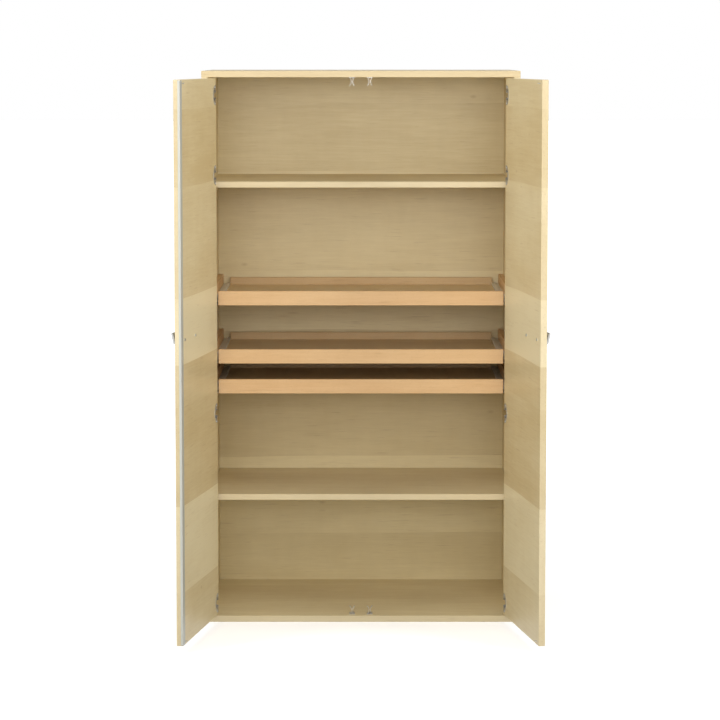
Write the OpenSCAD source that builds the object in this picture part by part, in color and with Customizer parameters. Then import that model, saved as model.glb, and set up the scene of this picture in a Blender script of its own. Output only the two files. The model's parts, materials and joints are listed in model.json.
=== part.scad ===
// Tall two-door pantry cabinet with inset doors, two shelves and three pull-out trays.
// Origin: centre of the underside. +Z up, the doors face -Y. Drawn with the doors standing open.

/* [Carcass] */
// Overall width
cab_w = 950; // [900:1:1000]
// Overall height
cab_h = 1665; // [1650:1:1750]
// Overall depth
cab_d = 580; // [570:1:620]
// Thickness of the sides, top, bottom and doors
board_t = 19; // [19:0.5:22]
// Thickness of the back panel
back_t = 8; // [5:0.5:10]
// How far the inner face of the back panel stands in front of the rear edges
back_inset = 20; // [14:1:24]

/* [Shelves] */
// Thickness of a shelf
shelf_t = 18; // [16:0.5:20]
// Distance from the front of the carcass to the front of a shelf
shelf_setback = 43; // [40:1:60]
// Height of the underside of the upper shelf
upper_shelf_z = 1315.5; // [1300:0.5:1318]
// Height of the underside of the lower shelf
lower_shelf_z = 367; // [300:0.5:400]

/* [Doors] */
// Gap between a door and the boards above and below it
door_gap_z = 3; // [2:0.5:4]
// Gap between a closed door and the side beside it
door_gap_x = 4; // [3.8:0.1:4.2]
// Width of the gap between the two closed doors
door_gap_mid = 3.5; // [3:0.1:5]
// Angle at which the doors are drawn, counted from closed
door_rest_deg = 100; // [90:1:110]
// Heights of the hinges
hinge_z = [59, 639, 1355, 1593];
// Height of the handle screws
handle_z = 903; // [870:1:940]
// Distance between the two screws of a handle
handle_pitch = 128; // [96:32:160]

/* [Trays] */
// Heights of the top edges of the three trays, the highest first
tray_top_z = [1003.5, 827, 736];
// Width of a tray front
tray_w = 860; // [856:1:860]
// Height of a tray front
tray_h = 43; // [43:1:45]
// Distance from the front of the carcass to a tray front
tray_setback = 40; // [38:1:42]
// Depth of a tray
tray_d = 516; // [500:1:516]
// Thickness of the front and back boards of a tray
tray_board_t = 16; // [14:0.5:18]
// Depth of the floor of a tray below its top edge
tray_floor_drop = 23; // [21:0.5:23]
// Thickness of the floor of a tray
tray_floor_t = 8; // [6:0.5:8]

/* [Hidden] */
$fn = 48;

MAPLE = [0.85, 0.77, 0.58];
BEECH = [0.87, 0.71, 0.53];
FLOOR_BEECH = [0.70, 0.58, 0.42];
STEEL = [0.78, 0.78, 0.77];
RUNNER_GREY = [0.80, 0.80, 0.77];
NYLON = [0.93, 0.93, 0.90];
STRIP_GREY = [0.76, 0.76, 0.72];

// radial room between a fastener and its hole, and between a shaft and its bearing
fit = 0.1;
running = 0.05;
over = 1;

// Carcass. Depths are measured back from the front of the carcass (see in_cabinet).
inner_x = cab_w / 2 - board_t;
inner_top = cab_h - board_t;
back_y = cab_d - back_inset;
rebate = 10;
rebate_gap = 0.5;
confirmat_y = [110, 290, 470];
confirmat_len = 50;
confirmat_d = 7;
confirmat_core_d = 5;
confirmat_head = [9, 2];
back_screw_len = 20;
back_screw_inset = 5;

// Shelf pins and their rows of holes
pin_d = 5;
pin_nose_d = 7;
pin_depth = 10;
pin_nose = 9;
pin_pitch = 32;
pin_rows_y = [80, 520];
pin_steps = [-2:2];
shelf_end_gap = 0.5;
shelf_back_gap = 1;

// Doors, drawn closed. pivot is the hinge pin of the right door.
door_x0 = door_gap_mid / 2;
door_x1 = inner_x - door_gap_x;
door_z0 = board_t + door_gap_z;
door_z1 = inner_top - door_gap_z;
pivot = [door_x1 - 7.5, 7.6];

// Hinge: cup in the door, plate and arm on the side panel
cup_d = 35;
cup_depth = 13;
cup_wall = 1.5;
cup_x = door_x1 - 21.5;
cup_screw_x = cup_x + 3;
cup_screw_z = 24;
flange_r = 30;
flange_x = cup_x + 11;
flange_edge = cup_x + 14;
flange_t = 1.2;
cheek = [11.6, 11.4, 1.8];
knuckle_h = 14.4;
hinge_pin_d = 3.2;
eye_d = 6.8;
notch_floor = 2.8;
notch_h = 19.6;
plate_y = 57;
plate_t = 3;
arm_h = 12;
arm_y = [24, 80];
arm_sheet = 1.5;
plate_screw_z = 11.5;

// Handle
handle_edge = 41;
handle_len = 146;
handle_reach = 29;
handle_rise = 20;
handle_t = 4;
handle_h = 30;
handle_low = 11;
handle_tilt = 12;
handle_post = [10, 20];
handle_screw_d = 4;
handle_r = (pow(handle_len / 2, 2) + pow(handle_rise, 2)) / (2 * handle_rise);

// Catches and strikers
catch_x = 26.5;
catch_h = 24;
catch_base = [17, 30, 1.2];
catch_y = 22;
catch_leaf = [0.8, 12];
catch_gap = 3.4;
catch_bow = 5.5;
catch_r = (pow(catch_h / 2, 2) + pow(catch_bow, 2)) / (2 * catch_bow);
catch_z = [board_t + catch_base[2] + catch_h / 2, inner_top - catch_base[2] - catch_h / 2];
stud_len = 6;
stud_d = 2.2;
stud_head_d = 3;
stud_shank = [5, 8];

// Closing strip on the left door
strip_flange = 18;
strip_lip = 8;
strip_t = 1.6;
strip_leg = 6.5;
strip_clear = 0.4;

// Trays and runners. Heights are measured down from the top edge of a tray.
web_x = 418.5;
sheet = 1.2;
rail_top = 18;
rail_x = 429.5;
web_drop = 40;
ledge_x = 404;
channel_x = 440;
channel_w = 9.4;
channel_top = 20.8;
channel_bottom = 43.2;
channel_y = 60;
channel_len = 496;
spacer_up = 10;
spacer_down = 50;
spacer_y = 45;
spacer_len = 513;
front_roller = [20, 8.4, 72, 29.5];
rear_roller = [19, 6, 520, 32.2];
axle_d = 5;
shoulder_d = 10;
rivet_head = [9, 0.8];
runner_screw_y = [95, 545];

// ---------- frames ----------

// Moves a piece whose depths start at the front of the carcass into the part's frame.
module in_cabinet() {
    translate([0, -cab_d / 2, 0]) children();
}

// Draws a right-hand piece on the side asked for: 1 right, -1 left.
module on_side(side) {
    if (side > 0) children();
    else mirror([1, 0, 0]) children();
}

module both_sides() {
    for (side = [-1, 1]) on_side(side) children();
}

// Swings a piece drawn on the closed right door to where the door stands.
module on_door(side) {
    in_cabinet()
        on_side(side)
            translate([pivot[0], pivot[1], 0])
                rotate([0, 0, door_rest_deg])
                    translate([-pivot[0], -pivot[1], 0]) children();
}

// A box from its two opposite corners
module block(low, high) {
    translate(low) cube(high - low);
}

// A round bar from p along +X, +Y or +Z
module bar_x(p, d, len) {
    translate(p) rotate([0, 90, 0]) cylinder(d = d, h = len);
}

module bar_y(p, d, len) {
    translate(p) rotate([-90, 0, 0]) cylinder(d = d, h = len);
}

module bar_z(p, d, len) {
    translate(p) cylinder(d = d, h = len);
}

// Pan-head screw: the head stands on z = 0, the shank goes down
module pan_screw(d, len, head_d, head_h) {
    difference() {
        union() {
            translate([0, 0, -len]) cylinder(d = d, h = len + head_h / 2);
            cylinder(d = head_d, h = head_h);
        }
        for (turn = [0, 90])
            rotate([0, 0, turn])
                translate([-head_d * 0.3, -0.4, head_h - 0.8]) cube([head_d * 0.6, 0.8, over]);
    }
}

// ---------- carcass ----------

module confirmat_places() {
    for (side = [-1, 1], y = confirmat_y)
        translate([side * (cab_w / 2 - board_t / 2), y, 0]) children();
}

// A stepped carcass screw, head up at z = 0, with room added for its hole
module confirmat(room = 0) {
    translate([0, 0, -confirmat_head[1]])
        cylinder(d = confirmat_head[0] + room, h = confirmat_head[1] + room);
    translate([0, 0, -board_t])
        cylinder(d = confirmat_d + room, h = board_t - 1);
    translate([0, 0, -confirmat_len - room])
        cylinder(d = confirmat_core_d + room, h = confirmat_len - board_t + over);
}

module all_confirmats(room = 0) {
    confirmat_places() {
        translate([0, 0, cab_h]) confirmat(room);
        mirror([0, 0, 1]) confirmat(room);
    }
}

module carcass_screws() {
    color(STEEL) in_cabinet() all_confirmats();
}

// Where the back panel is screwed to the shoulders of the rebates
module back_screw_places() {
    rows = 6;
    for (side = [-1, 1], i = [0:rows - 1])
        translate([side * (inner_x + back_screw_inset), back_y + back_t,
                   90 + i * (cab_h - 180) / (rows - 1)]) children();
    for (x = [-230, 0, 230], z = [board_t - back_screw_inset, inner_top + back_screw_inset])
        translate([x, back_y + back_t, z]) children();
}

module back_panel_screws() {
    color(STEEL) in_cabinet()
        back_screw_places() rotate([-90, 0, 0]) pan_screw(3, back_screw_len, 7, 1.8);
}

module back_screw_holes() {
    back_screw_places()
        bar_y([0, -back_screw_len - fit, 0], 3 + 2 * fit, back_screw_len + over);
}

module pin_holes() {
    for (z = [upper_shelf_z, lower_shelf_z], y = pin_rows_y, i = pin_steps)
        bar_x([inner_x - over, y, z - pin_nose_d / 2 + i * pin_pitch],
              pin_d + 2 * fit, pin_depth + over + fit);
}

// Right-hand side panel
module side_panel() {
    difference() {
        block([inner_x, 0, board_t], [cab_w / 2, cab_d, inner_top]);
        block([inner_x - over, back_y, board_t - over],
              [inner_x + rebate, cab_d + over, inner_top + over]);
        all_confirmats(2 * fit);
        back_screw_holes();
        pin_holes();
        for (z = hinge_z, dz = [-plate_screw_z, plate_screw_z])
            bar_x([inner_x - over, plate_y, z + dz], 3.5 + 2 * fit, 12 + over);
        for (top = tray_top_z, y = runner_screw_y)
            bar_x([inner_x - over, y, top - rear_roller[3]], 3.5 + 2 * fit, 12 + over);
    }
}

module side_panel_right() {
    color(MAPLE) in_cabinet() side_panel();
}

module side_panel_left() {
    color(MAPLE) in_cabinet() on_side(-1) side_panel();
}

// The bottom board; the top board is its mirror image
module end_panel(face) {
    difference() {
        translate([-cab_w / 2, 0, 0]) cube([cab_w, cab_d, board_t]);
        block([-inner_x - rebate, back_y, board_t - rebate],
              [inner_x + rebate, cab_d + over, board_t + over]);
        confirmat_places() mirror([0, 0, 1]) confirmat(2 * fit);
        for (x = [-230, 0, 230])
            bar_y([x, back_y + back_t - back_screw_len - fit, board_t - back_screw_inset],
                  3 + 2 * fit, back_screw_len + over);
        for (side = [-1, 1])
            bar_z([side * catch_x, catch_y + 22, board_t - 12], 3.5 + 2 * fit, 12 + over);
    }
}

module bottom_panel() {
    color(MAPLE) in_cabinet() end_panel();
}

module top_panel() {
    color(MAPLE) in_cabinet() translate([0, 0, cab_h]) mirror([0, 0, 1]) end_panel();
}

module back_panel() {
    reach = rebate - rebate_gap;
    color(MAPLE) in_cabinet() difference() {
        block([-inner_x - reach, back_y, board_t - reach],
              [inner_x + reach, back_y + back_t, inner_top + reach]);
        back_screw_holes();
    }
}

module shelf(z) {
    half = inner_x - shelf_end_gap;
    color(MAPLE) in_cabinet()
        block([-half, shelf_setback, z], [half, back_y - shelf_back_gap, z + shelf_t]);
}

module upper_shelf() {
    shelf(upper_shelf_z);
}

module lower_shelf() {
    shelf(lower_shelf_z);
}

module shelf_pins() {
    color(STEEL) in_cabinet() both_sides()
        for (z = [upper_shelf_z, lower_shelf_z], y = pin_rows_y) {
            bar_x([inner_x - pin_nose, y, z - pin_nose_d / 2], pin_nose_d, pin_nose);
            bar_x([inner_x - 1, y, z - pin_nose_d / 2], pin_d, pin_depth + 1);
        }
}

// ---------- catches ----------

// One bowed spring leaf, seen from the front as a bracket; it bulges towards x = 0
module catch_spring() {
    translate([-catch_gap / 2 - catch_r, catch_y + 0.5, 0])
        rotate([-90, 0, 0]) intersection() {
            difference() {
                cylinder(r = catch_r, h = catch_leaf[1]);
                translate([0, 0, -over])
                    cylinder(r = catch_r - catch_leaf[0], h = catch_leaf[1] + 2 * over);
            }
            translate([0, -catch_h / 2, 0]) cube([catch_r + over, catch_h, catch_leaf[1]]);
        }
}

module door_catches() {
    color(STEEL) in_cabinet()
        for (side = [-1, 1], end = [0, 1])
            translate([side * catch_x, 0, catch_z[end]])
                mirror([0, 0, end]) {
                    difference() {
                        translate([-catch_base[0] / 2, catch_y, -catch_h / 2 - catch_base[2]])
                            cube(catch_base);
                        bar_z([0, catch_y + 22, -catch_h], 3.5 + 2 * fit, catch_h);
                    }
                    catch_spring();
                    mirror([1, 0, 0]) catch_spring();
                }
}

// The same screw holds the catches to the boards and the hinge plates to the sides
module fitting_screw() {
    pan_screw(3.5, 13, 6.5, 1.8);
}

module fitting_screws() {
    color(STEEL) in_cabinet() {
        for (side = [-1, 1], end = [0, 1])
            translate([side * catch_x, catch_y + 22, catch_z[end]])
                mirror([0, 0, end]) translate([0, 0, -catch_h / 2]) fitting_screw();
        both_sides()
            for (z = hinge_z, dz = [-plate_screw_z, plate_screw_z])
                translate([inner_x - plate_t, plate_y, z + dz])
                    rotate([0, -90, 0]) fitting_screw();
    }
}

// A stud with a round head, which passes between the two leaves when the door is shut
module strikers(side) {
    color(STEEL) on_door(side)
        for (z = catch_z) translate([catch_x, board_t, z]) {
            bar_y([0, -stud_shank[1], 0], stud_shank[0], stud_shank[1]);
            bar_y([0, -over, 0], stud_d, stud_len + over);
            translate([0, stud_len, 0]) sphere(d = stud_head_d);
        }
}

// ---------- hinges ----------

// Mounting plate on the right-hand side panel
module hinge_plate() {
    difference() {
        union() {
            block([inner_x - plate_t, 40, -knuckle_h / 2], [inner_x, 78, knuckle_h / 2]);
            block([inner_x - plate_t, plate_y - 10, -16], [inner_x, plate_y + 10, 16]);
        }
        for (dz = [-plate_screw_z, plate_screw_z])
            bar_x([inner_x - plate_t - over, plate_y, dz], 3.5 + 2 * fit, plate_t + 2 * over);
    }
}

module hinge_plates(side) {
    color(STEEL) in_cabinet() on_side(side)
        for (z = hinge_z) translate([0, 0, z]) hinge_plate();
}

// Folded arm, its neck and the eye that turns on the pin
module hinge_arm() {
    base = inner_x - plate_t;
    half = knuckle_h / 2;
    difference() {
        union() {
            difference() {
                block([base - arm_h, arm_y[0], -half], [base, arm_y[1], half]);
                block([base - arm_h + arm_sheet, arm_y[0] + arm_sheet, -half + arm_sheet],
                      [base + over, arm_y[1] - arm_sheet, half - arm_sheet]);
            }
            block([pivot[0] - 1.5, pivot[1], -half], [pivot[0] + 1.5, arm_y[0] + 1, half]);
            bar_z([pivot[0], pivot[1], -half], eye_d, knuckle_h);
        }
        bar_z([pivot[0], pivot[1], -half - over], hinge_pin_d + 2 * running,
              knuckle_h + 2 * over);
    }
}

module hinge_arms(side) {
    color(STEEL) in_cabinet() on_side(side)
        for (z = hinge_z) translate([0, 0, z]) hinge_arm();
}

// The space in the door for the knuckle, open at the door's inner corner
module knuckle_space(h, x0, floor_y) {
    block([x0, floor_y, -h / 2], [door_x1 + over, board_t + 4, h / 2]);
}

// Round plate on the cup's rim, cut straight along the door's edge
module hinge_flange() {
    intersection() {
        bar_y([flange_x, board_t, 0], 2 * flange_r, flange_t);
        block([flange_x - flange_r - 1, board_t - 1, -flange_r - 1],
              [flange_edge, board_t + flange_t + 1, flange_r + 1]);
    }
}

module hinge_cup() {
    bottom = board_t - cup_depth;
    difference() {
        union() {
            difference() {
                union() {
                    bar_y([cup_x, bottom, 0], cup_d - 2 * fit, cup_depth);
                    hinge_flange();
                }
                bar_y([cup_x, bottom + 1, 0], cup_d - 2 * cup_wall, cup_depth + over);
                knuckle_space(knuckle_h + 0.4, pivot[0] - 3.8, 0);
                for (dz = [-cup_screw_z, cup_screw_z])
                    bar_y([cup_screw_x, board_t - over, dz], 3 + 2 * fit, flange_t + 2 * over);
            }
            // cheeks that hold the ends of the pin
            for (end = [-1, 1])
                translate([pivot[0] - 7.5, 3.6,
                           end * (knuckle_h / 2 + 0.2 + cheek[2] / 2) - cheek[2] / 2])
                    cube(cheek);
        }
        bar_z([pivot[0], pivot[1], -notch_h], hinge_pin_d + 2 * running, 2 * notch_h);
    }
}

module hinge_cups(side) {
    color(STEEL) on_door(side)
        for (z = hinge_z) translate([0, 0, z]) hinge_cup();
}

module cup_screws(side) {
    color(STEEL) on_door(side)
        for (z = hinge_z, dz = [-cup_screw_z, cup_screw_z])
            translate([cup_screw_x, board_t + flange_t, z + dz])
                rotate([-90, 0, 0]) pan_screw(3, 12, 6, 1.8);
}

module hinge_pins(side) {
    len = knuckle_h + 0.4 + 2 * cheek[2];
    color(STEEL) on_door(side)
        for (z = hinge_z) bar_z([pivot[0], pivot[1], z - len / 2], hinge_pin_d, len);
}

// ---------- doors ----------

function handle_screw_x() = [door_x0 + handle_edge, door_x0 + handle_edge + handle_pitch];

module door_panel(side) {
    color(MAPLE) on_door(side) difference() {
        block([door_x0, 0, door_z0], [door_x1, board_t, door_z1]);
        for (z = hinge_z) translate([0, 0, z]) {
            bar_y([cup_x, board_t - cup_depth - fit, 0], cup_d, cup_depth + over);
            knuckle_space(notch_h, pivot[0] - 8.5, notch_floor);
            for (dz = [-cup_screw_z, cup_screw_z])
                bar_y([cup_screw_x, board_t - 12, dz], 3 + 2 * fit, 12 + over);
        }
        for (x = handle_screw_x())
            bar_y([x, -over, handle_z], handle_screw_d + 4 * fit, board_t + 2 * over);
        for (z = catch_z)
            bar_y([catch_x, board_t - stud_shank[1] - fit, z], stud_shank[0] + 2 * fit,
                  stud_shank[1] + over);
    }
}

// Moves what is drawn round the axis of the handle's bow to where it stands, tilted so that
// the top edge of the strip is further out than the bottom edge
module at_bow() {
    mid_x = door_x0 + handle_edge + handle_pitch / 2;
    translate([mid_x, 0, handle_z]) rotate([handle_tilt, 0, 0])
        translate([0, handle_r - handle_reach, -handle_low]) children();
}

// A bent strip
module handle_bow() {
    at_bow() intersection() {
        difference() {
            cylinder(r = handle_r, h = handle_h, $fn = 128);
            translate([0, 0, -over])
                cylinder(r = handle_r - handle_t, h = handle_h + 2 * over, $fn = 128);
        }
        translate([-handle_len / 2, -handle_r - over, -over])
            cube([handle_len, handle_rise + over, handle_h + 2 * over]);
    }
}

// The two posts end inside the strip
module handle_posts() {
    intersection() {
        for (x = handle_screw_x())
            bar_y([x, -handle_post[1], handle_z], handle_post[0], handle_post[1]);
        at_bow() translate([0, 0, -handle_h])
            cylinder(r = handle_r - handle_t / 2, h = 3 * handle_h, $fn = 128);
    }
}

module handle(side) {
    color(STEEL) on_door(side) difference() {
        union() {
            handle_bow();
            handle_posts();
        }
        for (x = handle_screw_x())
            bar_y([x, -8 - fit, handle_z], handle_screw_d + 2 * fit, 8 + over);
    }
}

module handle_screws(side) {
    color(STEEL) on_door(side)
        for (x = handle_screw_x())
            translate([x, board_t, handle_z])
                rotate([-90, 0, 0]) pan_screw(handle_screw_d, board_t + 8, 8, 2.4);
}

module left_door_panel() {
    door_panel(-1);
}

module right_door_panel() {
    door_panel(1);
}

// Covers the gap between the doors from behind; the right door closes against its lip
module closing_strip() {
    z0 = door_z0 + 2;
    z1 = door_z1 - 2;
    color(STRIP_GREY) on_door(-1) {
        block([door_x0 - sheet, board_t, z0],
              [door_x0 + strip_flange, board_t + strip_t + strip_clear, z1]);
        block([door_x0 - strip_lip, board_t + strip_clear, z0],
              [door_x0, board_t + strip_t + strip_clear, z1]);
        block([door_x0 - sheet, board_t - strip_leg, z0], [door_x0, board_t + over, z1]);
    }
}

// ---------- trays ----------

// Moves a piece drawn with z = 0 at a tray's top edge to tray i
module at_tray(i) {
    in_cabinet() translate([0, 0, tray_top_z[i]]) children();
}

tray_back_y = tray_setback + tray_d;
tray_side_screw = [tray_back_y - tray_board_t / 2, -30];
tray_tab_screw = [web_x - 7.5, -36];

module tray_front(i) {
    color(BEECH) at_tray(i) difference() {
        block([-tray_w / 2, tray_setback, -tray_h], [tray_w / 2, tray_setback + tray_board_t, 0]);
        for (side = [-1, 1])
            bar_y([side * tray_tab_screw[0], tray_setback + tray_board_t - 10, tray_tab_screw[1]],
                  3 + 2 * fit, 10 + over);
    }
}

module tray_back(i) {
    color(BEECH) at_tray(i) difference() {
        block([-web_x, tray_back_y - tray_board_t, -tray_h], [web_x, tray_back_y, 0]);
        both_sides()
            bar_x([web_x - 14, tray_side_screw[0], tray_side_screw[1]], 3 + 2 * fit, 14 + over);
    }
}

module tray_floor(i) {
    color(FLOOR_BEECH) at_tray(i)
        block([-web_x, tray_setback + tray_board_t, -tray_floor_drop - tray_floor_t],
              [web_x, tray_back_y - tray_board_t, -tray_floor_drop]);
}

// Right-hand steel side: web, rail along its top, ledge under the floor, tab behind the front
module tray_side() {
    y0 = tray_setback + tray_board_t;
    y1 = tray_back_y - tray_board_t;
    ledge_z = -tray_floor_drop - tray_floor_t;
    axle = [web_x + sheet, rear_roller[2], -rear_roller[3]];
    shoulder_end = channel_x - channel_w + 0.2;
    head_x = shoulder_end + rear_roller[1] + 0.4;
    difference() {
        union() {
            block([web_x, y0, -web_drop], [web_x + sheet, tray_back_y, -rail_top]);
            block([web_x, y0, -rail_top - sheet], [rail_x, tray_back_y, -rail_top]);
            block([ledge_x, y0, ledge_z - sheet], [web_x + sheet, y1, ledge_z]);
            block([ledge_x, y0, -web_drop], [web_x + sheet, y0 + sheet, ledge_z]);
            bar_x(axle - [sheet, 0, 0], shoulder_d, shoulder_end - axle[0] + sheet);
            bar_x(axle, axle_d, head_x - axle[0]);
            bar_x([head_x, axle[1], axle[2]], rivet_head[0], rivet_head[1]);
        }
        bar_x([web_x - over, tray_side_screw[0], tray_side_screw[1]], 3 + 2 * fit, 4);
        bar_y([tray_tab_screw[0], y0 - over, tray_tab_screw[1]], 3 + 2 * fit, 4);
    }
}

module tray_side_right(i) {
    color(RUNNER_GREY) at_tray(i) tray_side();
}

module tray_side_left(i) {
    color(RUNNER_GREY) at_tray(i) on_side(-1) tray_side();
}

module tray_screws(i) {
    color(STEEL) at_tray(i) both_sides() {
        translate([tray_tab_screw[0], tray_setback + tray_board_t + sheet, tray_tab_screw[1]])
            rotate([-90, 0, 0]) pan_screw(3, 10, 5.6, 1.6);
        translate([web_x + sheet, tray_side_screw[0], tray_side_screw[1]])
            rotate([0, 90, 0]) pan_screw(3, 13, 5.6, 1.4);
    }
}

// Right-hand runner: a channel screwed to the spacer strip, with the front roller's axle
module runner() {
    x0 = channel_x - channel_w;
    y1 = channel_y + channel_len;
    axle = [0, front_roller[2], -front_roller[3]];
    roller_end = rail_x - 0.1;
    head_x = roller_end - front_roller[1] - 0.2;
    difference() {
        union() {
            block([channel_x - sheet, channel_y, -channel_bottom], [channel_x, y1, -channel_top]);
            block([x0, channel_y, -channel_bottom], [channel_x, y1, -channel_bottom + sheet]);
            block([x0, channel_y, -channel_top - sheet], [channel_x, y1, -channel_top]);
            bar_x([roller_end + 0.2, axle[1], axle[2]], shoulder_d, channel_x - roller_end - 0.2);
            bar_x([head_x, axle[1], axle[2]], axle_d, channel_x - head_x);
            bar_x([head_x - rivet_head[1], axle[1], axle[2]], rivet_head[0], rivet_head[1]);
        }
        for (y = runner_screw_y)
            bar_x([channel_x - sheet - over, y, -rear_roller[3]], 3.5 + 2 * fit, 4);
    }
}

module tray_runners(i) {
    color(RUNNER_GREY) at_tray(i) both_sides() runner();
}

module roller(x0, size) {
    difference() {
        bar_x([x0, size[2], -size[3]], size[0], size[1]);
        bar_x([x0 - over, size[2], -size[3]], axle_d + 2 * running, size[1] + 2 * over);
    }
}

module front_rollers(i) {
    color(NYLON) at_tray(i) both_sides()
        roller(rail_x - 0.1 - front_roller[1], front_roller);
}

module rear_rollers(i) {
    color(NYLON) at_tray(i) both_sides()
        roller(channel_x - channel_w + 0.4, rear_roller);
}

module spacer_strips() {
    color(BEECH) in_cabinet() both_sides()
        for (top = tray_top_z) difference() {
            block([channel_x, spacer_y, top - spacer_down],
                  [inner_x, spacer_y + spacer_len, top + spacer_up]);
            for (y = runner_screw_y)
                bar_x([channel_x - over, y, top - rear_roller[3]], 3.5 + 2 * fit,
                      inner_x - channel_x + 2 * over);
        }
}

// Each screw holds a runner and its spacer strip to the side panel
module runner_screws() {
    color(STEEL) in_cabinet() both_sides()
        for (top = tray_top_z, y = runner_screw_y)
            translate([channel_x - sheet, y, top - rear_roller[3]])
                rotate([0, -90, 0]) pan_screw(3.5, inner_x - channel_x + sheet + 11, 8, 1.8);
}

side_panel_left();
side_panel_right();
top_panel();
bottom_panel();
back_panel();
upper_shelf();
lower_shelf();
shelf_pins();
carcass_screws();
back_panel_screws();
spacer_strips();
runner_screws();
door_catches();
fitting_screws();
hinge_plates(-1);  // hinge_plates_left
hinge_plates(1);  // hinge_plates_right
hinge_arms(-1);  // hinge_arms_left
hinge_arms(1);  // hinge_arms_right
left_door_panel();
handle(-1);  // left_handle
handle_screws(-1);  // left_handle_screws
hinge_cups(-1);  // left_hinge_cups
cup_screws(-1);  // left_cup_screws
hinge_pins(-1);  // left_hinge_pins
strikers(-1);  // left_strikers
closing_strip();
right_door_panel();
handle(1);  // right_handle
handle_screws(1);  // right_handle_screws
hinge_cups(1);  // right_hinge_cups
cup_screws(1);  // right_cup_screws
hinge_pins(1);  // right_hinge_pins
strikers(1);  // right_strikers
tray_front(0);  // tray_1_front
tray_back(0);  // tray_1_back
tray_floor(0);  // tray_1_floor
tray_side_left(0);  // tray_1_side_left
tray_side_right(0);  // tray_1_side_right
tray_screws(0);  // tray_1_screws
tray_runners(0);  // tray_1_runners
front_rollers(0);  // tray_1_front_rollers
rear_rollers(0);  // tray_1_rear_rollers
tray_front(1);  // tray_2_front
tray_back(1);  // tray_2_back
tray_floor(1);  // tray_2_floor
tray_side_left(1);  // tray_2_side_left
tray_side_right(1);  // tray_2_side_right
tray_screws(1);  // tray_2_screws
tray_runners(1);  // tray_2_runners
front_rollers(1);  // tray_2_front_rollers
rear_rollers(1);  // tray_2_rear_rollers
tray_front(2);  // tray_3_front
tray_back(2);  // tray_3_back
tray_floor(2);  // tray_3_floor
tray_side_left(2);  // tray_3_side_left
tray_side_right(2);  // tray_3_side_right
tray_screws(2);  // tray_3_screws
tray_runners(2);  // tray_3_runners
front_rollers(2);  // tray_3_front_rollers
rear_rollers(2);  // tray_3_rear_rollers
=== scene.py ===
"""Looks of the two-door pantry cabinet: wood, metal and plastic finishes, finely edged boards,
detailed fittings, a pale floor, studio light and the camera."""
import json
import math

import bmesh
import bpy
from mathutils import Matrix, Vector

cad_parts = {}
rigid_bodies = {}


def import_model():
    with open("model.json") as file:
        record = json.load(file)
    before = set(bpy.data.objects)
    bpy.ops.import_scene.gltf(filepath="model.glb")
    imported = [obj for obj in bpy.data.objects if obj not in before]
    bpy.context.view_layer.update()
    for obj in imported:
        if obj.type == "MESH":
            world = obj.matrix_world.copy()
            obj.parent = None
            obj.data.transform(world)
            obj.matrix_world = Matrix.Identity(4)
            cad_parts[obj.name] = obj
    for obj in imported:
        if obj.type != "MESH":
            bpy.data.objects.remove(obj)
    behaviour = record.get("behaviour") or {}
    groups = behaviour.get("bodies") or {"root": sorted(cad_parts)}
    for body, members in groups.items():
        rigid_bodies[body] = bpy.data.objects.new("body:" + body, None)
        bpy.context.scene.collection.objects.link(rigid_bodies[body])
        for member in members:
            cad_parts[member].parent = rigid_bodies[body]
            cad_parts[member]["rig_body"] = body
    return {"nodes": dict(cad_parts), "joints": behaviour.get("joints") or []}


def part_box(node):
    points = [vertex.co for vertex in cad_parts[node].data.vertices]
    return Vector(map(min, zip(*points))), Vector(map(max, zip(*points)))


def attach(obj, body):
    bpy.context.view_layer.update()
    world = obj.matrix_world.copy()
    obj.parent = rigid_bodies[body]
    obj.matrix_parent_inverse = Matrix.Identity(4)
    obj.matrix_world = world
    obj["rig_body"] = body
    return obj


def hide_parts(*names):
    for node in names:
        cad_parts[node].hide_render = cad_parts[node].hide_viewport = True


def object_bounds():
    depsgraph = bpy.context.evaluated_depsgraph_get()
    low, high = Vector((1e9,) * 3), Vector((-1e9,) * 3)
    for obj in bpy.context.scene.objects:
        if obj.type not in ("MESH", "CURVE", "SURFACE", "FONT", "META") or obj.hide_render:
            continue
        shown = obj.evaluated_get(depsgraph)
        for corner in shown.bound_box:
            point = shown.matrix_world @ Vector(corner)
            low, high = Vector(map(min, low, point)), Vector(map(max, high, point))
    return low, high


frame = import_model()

CAD_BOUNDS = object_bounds()
MM = 0.001
NODES = frame["nodes"]
JOINTS = {joint["name"]: joint for joint in frame["joints"]}
TRAYS = (1, 2, 3)
SIDES = {"left": -1, "right": 1}

# Places that everything else is worked out from, read from the frame
FRONT_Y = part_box("side_panel_left")[0].y
PIVOT = Vector(JOINTS["right_door_hinge"]["pos_m"])
DOOR_OPEN = math.radians(-JOINTS["right_door_hinge"]["range_deg"][0])


# ---------- materials ----------

def linear(red, green, blue):
    """A colour as the eye names it, 0 to 255, in the linear numbers that a shader wants."""
    def channel(value):
        value /= 255
        return value / 12.92 if value <= 0.04045 else ((value + 0.055) / 1.055) ** 2.4
    return (channel(red), channel(green), channel(blue), 1.0)


class Value:
    """A number that varies over a surface and takes part in sums like a plain number."""

    def __init__(self, finish, socket):
        self.finish = finish
        self.socket = socket

    def __add__(self, other):
        return self.finish.maths("ADD", self, other)

    def __sub__(self, other):
        return self.finish.maths("SUBTRACT", self, other)

    def __mul__(self, other):
        return self.finish.maths("MULTIPLY", self, other)

    def __rsub__(self, other):
        return self.finish.maths("SUBTRACT", other, self)

    __radd__ = __add__
    __rmul__ = __mul__


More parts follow.
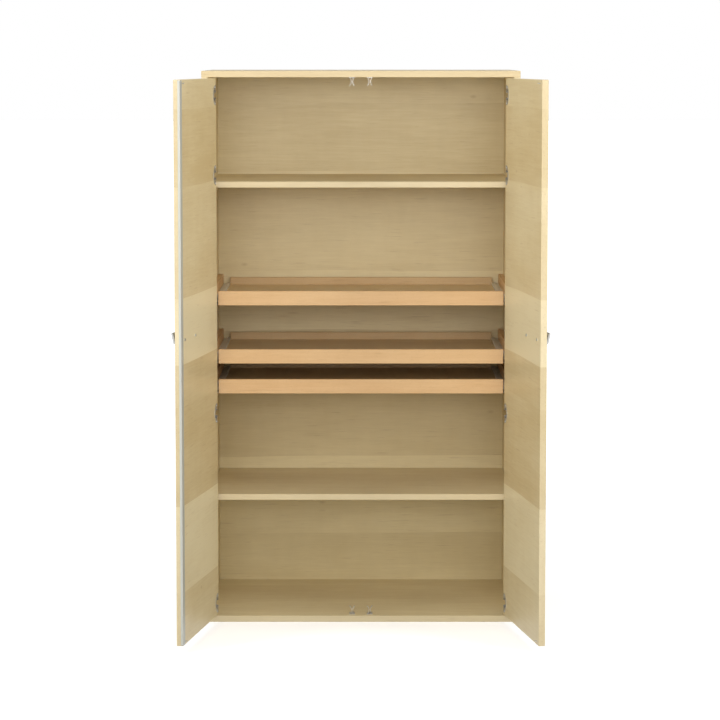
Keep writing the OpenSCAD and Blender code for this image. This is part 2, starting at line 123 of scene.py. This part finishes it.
class Finish:
    """One material under construction."""

    def __init__(self, name):
        self.material = bpy.data.materials.new(name)
        self.material.use_nodes = True
        self.tree = self.material.node_tree
        self.tree.nodes.clear()
        self.place = self.node("ShaderNodeTexCoord").outputs["Object"]

    def node(self, kind, settings=None, feeds=None):
        """Adds a node: its settings are made first, then its sockets get values or links."""
        added = self.tree.nodes.new(kind)
        for name, value in (settings or {}).items():
            setattr(added, name, value)
        for name, value in (feeds or {}).items():
            self.feed(added, name, value)
        return added

    def feed(self, added, name, value):
        """Gives a socket, known by its number or name, a link or a value."""
        sockets = added.inputs
        socket = sockets[name] if isinstance(name, int) else next(
            s for s in sockets if name in (s.identifier, s.name))
        if isinstance(value, Value):
            value = value.socket
        if isinstance(value, bpy.types.NodeSocket):
            self.tree.links.new(value, socket)
        else:
            socket.default_value = value

    def maths(self, operation, first, second=0.0):
        added = self.node("ShaderNodeMath", {"operation": operation}, {0: first, 1: second})
        return Value(self, added.outputs[0])

    def vector(self, operation, first, second):
        added = self.node("ShaderNodeVectorMath", {"operation": operation},
                          {0: first, 1: second})
        return added.outputs[0]

    def parts(self, vector):
        """The x, y and z of a vector."""
        added = self.node("ShaderNodeSeparateXYZ", feeds={0: vector})
        return [Value(self, output) for output in added.outputs]

    def join(self, x, y, z):
        return self.node("ShaderNodeCombineXYZ", feeds={0: x, 1: y, 2: z}).outputs[0]

    def mix(self, factor, first, second):
        """A colour that goes from the first to the second as the factor goes from 0 to 1."""
        added = self.node("ShaderNodeMix", {"data_type": "RGBA"},
                          {"Factor_Float": factor, "A_Color": first, "B_Color": second})
        return next(o for o in added.outputs if o.identifier == "Result_Color")

    def noise(self, vector, scale=1.0, detail=2.0, roughness=0.5):
        added = self.node("ShaderNodeTexNoise", None,
                          {"Vector": vector, "Scale": scale, "Detail": detail,
                           "Roughness": roughness})
        return Value(self, added.outputs[0])

    def cells(self, position, scale):
        """A number from 0 to 1 that is even over each of a row of strips of uneven width."""
        added = self.node("ShaderNodeTexVoronoi", {"voronoi_dimensions": "1D"},
                          {"W": position, "Scale": scale, "Randomness": 1.0})
        colour = next(o for o in added.outputs if o.name == "Color")
        return self.parts(colour)[0]

    def spots(self, vector):
        """Distance to the nearest of the points scattered one to each unit cell."""
        added = self.node("ShaderNodeTexVoronoi", {"voronoi_dimensions": "3D"},
                          {"Vector": vector, "Scale": 1.0, "Randomness": 1.0})
        return Value(self, next(o for o in added.outputs if o.name == "Distance"))

    def between(self, value, low, high):
        """0 below low, 1 above high, and even in between."""
        added = self.node("ShaderNodeMapRange", {"clamp": True},
                          {"Value": value, "From Min": low, "From Max": high})
        return Value(self, added.outputs[0])

    def bump(self, height, strength, distance):
        return self.node("ShaderNodeBump", None,
                         {"Height": height, "Strength": strength,
                          "Distance": distance}).outputs[0]

    def shade(self, **feeds):
        """Ends the material in the glossy shader. base_color stands for Base Color."""
        named = {name.replace("_", " ").title().replace("Ior", "IOR"): value
                 for name, value in feeds.items()}
        shader = self.node("ShaderNodeBsdfPrincipled", None, named)
        end = self.node("ShaderNodeOutputMaterial")
        self.tree.links.new(shader.outputs[0], end.inputs["Surface"])
        return self.material


# The layers of a board's figure: how many changes to a metre along the grain and across it, and
# the detail and roughness of the noise
LAYERS = {
    "cloud": (2.4, 5, 2, 0.5),
    "figure": (1.5, 10, 3, 0.5),
    "ripple": (4, 40, 2, 0.5),
    "streak": (7, 170, 4, 0.6),
    "fibre": (26, 1100, 2, 0.6),
    "curl": (24, 9, 2, 0.5),
    "dash": (13, 210, 2, 0.5),
    "ray": (190, 2100, 1, 0.4),
}
# Veneer leaves: how many to a metre, how far and how slowly their joints wander, and how far
# each leaf's figure stands from the next one's
LEAVES = 4.6
LEAF_WANDER = 0.035
LEAF_DRIFT = (0.9, 0.4)
LEAF_JUMP = (9.0, 5.0, 7.0)
# Arches of the annual rings: how many the figure makes, and how much the ripple bends them
ARCHES = 42.0
ARCH_BEND = 5.0
# Where a dash or a beech ray starts and is full, and the size of a knot and how ragged it is
DASH_RANGE = (0.63, 0.8)
RAY_RANGE = (0.66, 0.72)
KNOT_SPACING = (4.0, 8.0, 8.0)
KNOT_SIZE = 0.055
KNOT_RAGGED = 0.03
# Darkness of the wood: its middle, and the values for the light and the dark colour
MIDDLE_TONE = 0.47
TONE_RANGE = (0.1, 0.9)
VEIN = linear(150, 112, 72)
RAY = linear(120, 78, 44)


def layer(finish, place, name):
    """One layer of the figure, with the grain along x."""
    along, across, detail, roughness = LAYERS[name]
    scaled = finish.vector("MULTIPLY", place, (along, across, across))
    return finish.noise(scaled, 1.0, detail, roughness)


def along_door(finish, side):
    """The place as it was before the door swung open, so that the grain follows the door."""
    turned = finish.node("ShaderNodeMapping", {"vector_type": "TEXTURE"},
                         {"Vector": finish.place, "Location": (side * PIVOT.x, PIVOT.y, 0),
                          "Rotation": (0, 0, side * DOOR_OPEN)})
    return turned.outputs[0]


def wood(name, light, dark, leaf=0.0, band_axis="z", door=0, grain=1.0, fleck=0.0):
    """Lacquered wood with its grain along x. leaf is how far the tone changes from one leaf of
    veneer to the next, and door is the side of the open door that the wood is for, or 0."""
    finish = Finish(name)
    place = along_door(finish, door) if door else finish.place
    x, y, z = finish.parts(place)
    across = {"y": y, "z": z}[band_axis]
    drift = finish.noise(finish.join(x * LEAF_DRIFT[0], across * LEAF_DRIFT[1], 0.0), 1.0, 1.0)
    strip = finish.cells(across + drift * LEAF_WANDER, LEAVES)
    shifted = finish.vector("ADD", place, finish.join(*(strip * jump for jump in LEAF_JUMP)))
    cloud, figure, ripple, streak, fibre, curl, dash = (
        layer(finish, shifted, part)
        for part in ("cloud", "figure", "ripple", "streak", "fibre", "curl", "dash"))
    arches = finish.maths("SINE", figure * ARCHES + ripple * ARCH_BEND)
    dashes = finish.between(dash, *DASH_RANGE)
    scattered = finish.spots(finish.vector("MULTIPLY", shifted, KNOT_SPACING))
    knot = 1 - finish.between(scattered + (streak - 0.5) * KNOT_RAGGED, 0.0, KNOT_SIZE)
    darkness = ((cloud - 0.5) * 0.6 + (figure - 0.5) * 0.35 + arches * 0.035
                + (streak - 0.5) * 0.38 + (fibre - 0.5) * 0.35 + (curl - 0.5) * 0.2
                + dashes * 0.15 + knot * 0.2) * grain
    darkness = darkness + (strip - 0.5) * leaf + MIDDLE_TONE
    colour = finish.mix(finish.between(darkness, *TONE_RANGE), light, dark)
    colour = finish.mix((dashes * 0.2 + knot * 0.25) * grain, colour, VEIN)
    if fleck:
        flecks = finish.between(layer(finish, shifted, "ray"), *RAY_RANGE) * fleck
        colour = finish.mix(flecks, colour, finish.mix(0.5, dark, RAY))
    return finish.shade(
        base_color=colour,
        roughness=0.36 + streak * 0.16 + fibre * 0.06,
        coat_weight=0.22, coat_roughness=0.3, specular_ior_level=0.45,
        normal=finish.bump(fibre * 0.6 + streak * 0.4, 0.25, 0.15 * MM))


def dimmed(colour, share):
    """A colour with part of its light kept."""
    return tuple(channel * share for channel in colour[:3]) + (1.0,)


def metal(name, colour, roughness, brushed=(1, 1, 1), metallic=1.0):
    """Metal with fine scratches; brushed stretches them along one direction."""
    finish = Finish(name)
    grain = finish.noise(finish.vector("MULTIPLY", finish.place, brushed), 900.0, 3.0, 0.6)
    smudge = finish.noise(finish.place, 60.0, 2.0, 0.5)
    shade = finish.mix(finish.between(grain, 0.3, 0.7), colour, dimmed(colour, 0.86))
    return finish.shade(
        base_color=shade, metallic=metallic,
        roughness=roughness + (grain - 0.5) * 0.12 + (smudge - 0.5) * 0.08,
        normal=finish.bump(grain, 0.12, 0.03 * MM))


def coated(name, colour, roughness):
    """Powder coat or moulded plastic: an even colour with a fine skin."""
    finish = Finish(name)
    skin = finish.noise(finish.place, 1500.0, 2.0, 0.5)
    cloud = finish.noise(finish.place, 14.0, 2.0, 0.5)
    shade = finish.mix(finish.between(skin * 0.6 + cloud * 0.4, 0.3, 0.7), colour,
                       dimmed(colour, 0.97))
    return finish.shade(base_color=shade, roughness=roughness + (skin - 0.5) * 0.1,
                        specular_ior_level=0.5, normal=finish.bump(skin, 0.15, 0.05 * MM))


# Each wood's light and dark colour
MAPLE = (linear(238, 224, 184), linear(210, 188, 140))
MAPLE_EDGE = (linear(240, 223, 182), linear(214, 192, 146))
# The top panel's edge takes a darker copy of the maple edge colour, a painted shade
MAPLE_TOP_EDGE_PAINTED_SHADE = (linear(222, 202, 158), linear(194, 170, 122))
MAPLE_BACK = (linear(236, 221, 176), linear(209, 190, 141))
BEECH = (linear(238, 200, 147), linear(213, 166, 109))
# The tray backs take a darker, less red copy of the beech colour, a painted shade
BEECH_SHADED_BACK = (linear(222, 194, 144), linear(198, 160, 106))
BEECH_DULL = (linear(234, 209, 163), linear(209, 178, 130))

FINISHES = {
    "panel": wood("maple_panel", *MAPLE, leaf=0.5),
    "shelf": wood("maple_shelf", *MAPLE, leaf=0.3, band_axis="y"),
    "edge": wood("maple_edge", *MAPLE_EDGE, grain=0.7),
    "shaded_top_edge": wood("maple_shaded_top_edge", *MAPLE_TOP_EDGE_PAINTED_SHADE, grain=0.7),
    "left_door": wood("maple_left_door", *MAPLE, leaf=0.75, door=SIDES["left"]),
    "right_door": wood("maple_right_door", *MAPLE, leaf=0.75, door=SIDES["right"]),
    "left_door_edge": wood("maple_left_door_edge", *MAPLE_EDGE, leaf=0.6,
                           door=SIDES["left"]),
    "right_door_edge": wood("maple_right_door_edge", *MAPLE_EDGE, leaf=0.6,
                            door=SIDES["right"]),
    "back": wood("maple_back", *MAPLE_BACK, leaf=0.6),
    "beech": wood("beech", *BEECH, grain=0.9, fleck=0.5),
    "tray_back": wood("beech_shaded_back", *BEECH_SHADED_BACK, grain=0.9, fleck=0.5),
    "tray_floor": wood("beech_floor", *BEECH_DULL, leaf=0.2, band_axis="y"),
    "zinc": metal("bright_zinc", linear(212, 213, 211), 0.32),
    "nickel": metal("nickel_plate", linear(200, 197, 190), 0.42, metallic=0.8),
    "spring": metal("spring_steel", linear(198, 197, 194), 0.37, (1, 6, 6), metallic=0.85),
    "handle": metal("satin_nickel", linear(176, 175, 172), 0.3, (1, 1, 14)),
    "runner": coated("grey_epoxy", linear(226, 225, 218), 0.38),
    "nylon": coated("white_nylon", linear(236, 235, 228), 0.42),
    # The closing strip is one plastic in two copies: its broad faces take the darker one, a
    # painted shade, and its edges the lighter one, a painted highlight
    "strip": coated("strip_painted_shade", linear(186, 188, 181), 0.34),
    "strip_leg": coated("strip_painted_highlight", linear(216, 216, 206), 0.34),
}


# ---------- pieces ----------

# Meshes: points closer than this are one, faces that bend less than this are one, faces that
# bend less than this share their shading, and edges sharper than this are eased
WELD = 0.002 * MM
FLAT = math.radians(1)
SMOOTH_UP_TO = math.radians(35)
CORNER = math.radians(50)
# Radius of the eased edges of boards, thin parts, pressed metal, handles and tray boards
EASE = 0.9 * MM
FINE_EASE = 0.35 * MM
PRESSED_EASE = 0.2 * MM
HANDLE_EASE = 0.8 * MM
RAIL_EASE = 1.2 * MM
FLOOR_EASE = 0.4 * MM
# Edges shorter than this stay sharp: on boards, on sheet metal and on tray boards
BOARD_SHORTEST = 7 * MM
SHEET_SHORTEST = 6 * MM
RAIL_SHORTEST = 12 * MM


def dress(piece, *finishes):
    """Gives a piece its finishes, the first one on every face."""
    piece.data.materials.clear()
    for finish in finishes:
        piece.data.materials.append(FINISHES[finish])


def new_object(name, work):
    """Turns a bmesh into an object."""
    mesh = bpy.data.meshes.new(name)
    work.to_mesh(mesh)
    work.free()
    made = bpy.data.objects.new(name, mesh)
    bpy.context.scene.collection.objects.link(made)
    return made


def smooth(piece):
    """Shades a piece smooth, apart from its real corners. The CAD's own normals go first."""
    for left_over in ("custom_normal", "sharp_face", "sharp_edge"):
        if left_over in piece.data.attributes:
            piece.data.attributes.remove(piece.data.attributes[left_over])
    for polygon in piece.data.polygons:
        polygon.use_smooth = True
    piece.data.set_sharp_from_angle(angle=SMOOTH_UP_TO)


def eased(node, radius, shortest=0.0, segments=2):
    """The node's own shape with its long sharp edges eased by a small radius, as a maker would."""
    work = bmesh.new()
    work.from_mesh(NODES[node].data)
    bmesh.ops.remove_doubles(work, verts=work.verts, dist=WELD)
    bmesh.ops.dissolve_limit(work, angle_limit=FLAT, verts=work.verts, edges=work.edges)
    weights = work.edges.layers.float.new("bevel_weight_edge")
    for edge in work.edges:
        sharp = len(edge.link_faces) == 2 and edge.calc_face_angle(0.0) > CORNER
        edge[weights] = 1.0 if sharp and edge.calc_length() > shortest else 0.0
    piece = new_object(node + ".eased", work)
    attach(piece, NODES[node]["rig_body"])
    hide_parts(node)
    smooth(piece)
    bevel = piece.modifiers.new("eased_edges", "BEVEL")
    bevel.limit_method = "WEIGHT"
    bevel.width = radius
    bevel.segments = segments
    bevel.use_clamp_overlap = False
    bevel.harden_normals = True
    return piece


def edge_banded(piece, thin, face_finish, edge_finish):
    """Gives the broad faces one finish and the edges another. thin is the thin direction."""
    dress(piece, face_finish, edge_finish)
    for polygon in piece.data.polygons:
        broad = abs(polygon.normal.dot(thin)) > 0.9
        polygon.material_index = 0 if broad else 1


def across_door(side):
    """Direction through the thickness of an open door."""
    return Matrix.Rotation(side * DOOR_OPEN, 3, "Z") @ Vector((0, 1, 0))


def make_boards():
    boards = {
        # The top panel's edge gets the darker maple edge copy, a painted shade
        "top_panel": ((0, 0, 1), "shelf", "shaded_top_edge"),
        "bottom_panel": ((0, 0, 1), "shelf", "edge"),
        "upper_shelf": ((0, 0, 1), "shelf", "edge"),
        "lower_shelf": ((0, 0, 1), "shelf", "edge"),
        "back_panel": ((0, 1, 0), "back", "edge"),
    }
    for side in SIDES:
        boards[f"side_panel_{side}"] = ((1, 0, 0), "panel", "edge")
    for node, (thin, face, edge) in boards.items():
        edge_banded(eased(node, EASE, BOARD_SHORTEST), Vector(thin), face, edge)
    for side, sign in SIDES.items():
        edge_banded(eased(f"{side}_door_panel", EASE, BOARD_SHORTEST), across_door(sign),
                    f"{side}_door", f"{side}_door_edge")


def make_trays():
    for i in TRAYS:
        # Tray backs get the darker beech copy, a painted shade
        for part, finish in (("front", "beech"), ("back", "tray_back")):
            dress(eased(f"tray_{i}_{part}", RAIL_EASE, RAIL_SHORTEST, 3), finish)
        dress(eased(f"tray_{i}_floor", FLOOR_EASE, BOARD_SHORTEST), "tray_floor")
        for side in SIDES:
            dress(eased(f"tray_{i}_side_{side}", FINE_EASE, SHEET_SHORTEST), "runner")
        dress(NODES[f"tray_{i}_screws"], "zinc")
        dress(eased(f"tray_{i}_runners", FINE_EASE, SHEET_SHORTEST), "runner")
        for end in ("front", "rear"):
            dress(eased(f"tray_{i}_{end}_rollers", FINE_EASE), "nylon")
    dress(eased("spacer_strips", EASE, BOARD_SHORTEST), "beech")


def make_fittings():
    # The closing strip's broad faces get its painted-shade copy and its edges its
    # painted-highlight copy
    edge_banded(eased("closing_strip", FINE_EASE, MM), across_door(SIDES["left"]),
                "strip", "strip_leg")
    for node in ("shelf_pins", "carcass_screws", "back_panel_screws", "runner_screws",
                 "fitting_screws"):
        dress(NODES[node], "zinc")
    dress(NODES["door_catches"], "spring")
    for side in SIDES:
        for node in (f"hinge_plates_{side}", f"hinge_arms_{side}", f"{side}_hinge_cups"):
            dress(eased(node, PRESSED_EASE), "nickel")
        dress(NODES[f"{side}_cup_screws"], "zinc")
        dress(NODES[f"{side}_hinge_pins"], "zinc")
        dress(NODES[f"{side}_strikers"], "spring")
        dress(eased(f"{side}_handle", HANDLE_EASE, segments=3), "handle")
        dress(NODES[f"{side}_handle_screws"], "zinc")


# ---------- floor, light and camera ----------

# The floor is a disc just under the cabinet. It glows, so that it looks even and pale: the glow is
# less near the cabinet, a painted shade around it, and more far away, and between the two
# distances it changes evenly
FLOOR_RADIUS = 60
FLOOR_GAP = 0.2 * MM
GLOW_NEAR = (0.42, 0.42, 0.42, 1)
GLOW_FAR = (0.7, 0.7, 0.7, 1)
GLOW_CHANGE = (0.7, 3.5)


def make_floor():
    finish = Finish("pale_floor")
    cloud = finish.noise(finish.place, 3.0, 3.0, 0.5)
    shade = finish.mix(cloud, linear(250, 250, 249), linear(246, 246, 245))
    x, y, _ = finish.parts(finish.place)
    away = finish.between(finish.maths("SQRT", x * x + y * y), *GLOW_CHANGE)
    work = bmesh.new()
    bmesh.ops.create_circle(work, cap_ends=True, segments=96, radius=FLOOR_RADIUS)
    floor = new_object("floor", work)
    floor.location.z = CAD_BOUNDS[0].z - FLOOR_GAP
    # The glow is weaker near the cabinet, a painted shade around it
    floor.data.materials.append(finish.shade(
        base_color=shade, roughness=0.8,
        emission_color=finish.mix(away, GLOW_NEAR, GLOW_FAR), emission_strength=1.0))
    floor.visible_diffuse = False


def soft_light(name, place, target, size, power, mirrored=True):
    """A soft box at a place, turned to its target. One that isn't mirrored shows in no gloss."""
    light = bpy.data.lights.new(name, "AREA")
    light.shape = "RECTANGLE"
    light.size, light.size_y = size
    light.energy = power
    lamp = bpy.data.objects.new(name, light)
    lamp.location = place
    lamp.rotation_euler = (Vector(target) - Vector(place)).to_track_quat("-Z", "Y").to_euler()
    lamp.visible_glossy = mirrored
    bpy.context.scene.collection.objects.link(lamp)


# Brightness of the room by direction: 0 is straight down, 0.5 level, 1 straight up. It is bright
# in a band at eye height
SKY = ((0.0, 0.05), (0.44, 0.15), (0.485, 1.0), (0.54, 1.0), (0.64, 0.5), (1.0, 0.5))


def make_room():
    """White surroundings, as bright as SKY says in each direction."""
    world = bpy.data.worlds.new("white_room")
    world.use_nodes = True
    tree = world.node_tree
    place = tree.nodes.new("ShaderNodeTexCoord")
    height = tree.nodes.new("ShaderNodeSeparateXYZ")
    level = tree.nodes.new("ShaderNodeMapRange")
    level.inputs["From Min"].default_value = -1
    fade = tree.nodes.new("ShaderNodeFloatCurve")
    curve = fade.mapping.curves[0]
    for point, place_and_level in zip(curve.points, (SKY[0], SKY[-1])):
        point.location = place_and_level
    for place_and_level in SKY[1:-1]:
        curve.points.new(*place_and_level)
    for point in curve.points:
        point.handle_type = "VECTOR"
    fade.mapping.update()
    backdrop = tree.nodes["Background"]
    backdrop.inputs["Color"].default_value = (1, 1, 1, 1)
    for output, socket in ((place.outputs["Generated"], height.inputs[0]),
                           (height.outputs["Z"], level.inputs["Value"]),
                           (level.outputs[0], fade.inputs["Value"]),
                           (fade.outputs[0], backdrop.inputs["Strength"])):
        tree.links.new(output, socket)
    bpy.context.scene.world = world


def make_light():
    soft_light("key", (-0.2, FRONT_Y - 2.4, 1.85), (-0.2, 0, 1.3), (3.4, 0.9), 21)
    soft_light("fill", (0, FRONT_Y - 6.5, 1.9), (0, 0, 1.2), (4.0, 1.0), 68)
    for side in SIDES.values():
        soft_light("side", (side * 3.0, FRONT_Y - 2.0, 2.7), (-side * 0.5, FRONT_Y - 0.2, 1.6),
                   (1.4, 1.2), 52, mirrored=False)
    bpy.context.scene.view_settings.view_transform = "Standard"


# The camera, by its distance from the front of the carcass, its height and its tilt downwards
VIEW_DISTANCE = 7.916
EYE_HEIGHT = 1.716
LENS = 132.58
SENSOR_WIDTH = 36
TILT = math.radians(5.5)
SHIFT_X = -0.00126
SHIFT_Y = -0.0709


def make_camera():
    camera = bpy.data.cameras.new("camera")
    camera.lens = LENS
    camera.sensor_width = SENSOR_WIDTH
    camera.shift_x = SHIFT_X
    camera.shift_y = SHIFT_Y
    eye = bpy.data.objects.new("camera", camera)
    eye.location = (0, FRONT_Y - VIEW_DISTANCE, EYE_HEIGHT)
    eye.rotation_euler = (math.pi / 2 - TILT, 0, 0)
    bpy.context.scene.collection.objects.link(eye)
    bpy.context.scene.camera = eye


make_boards()
make_trays()
make_fittings()
make_floor()
make_room()
make_light()
make_camera()
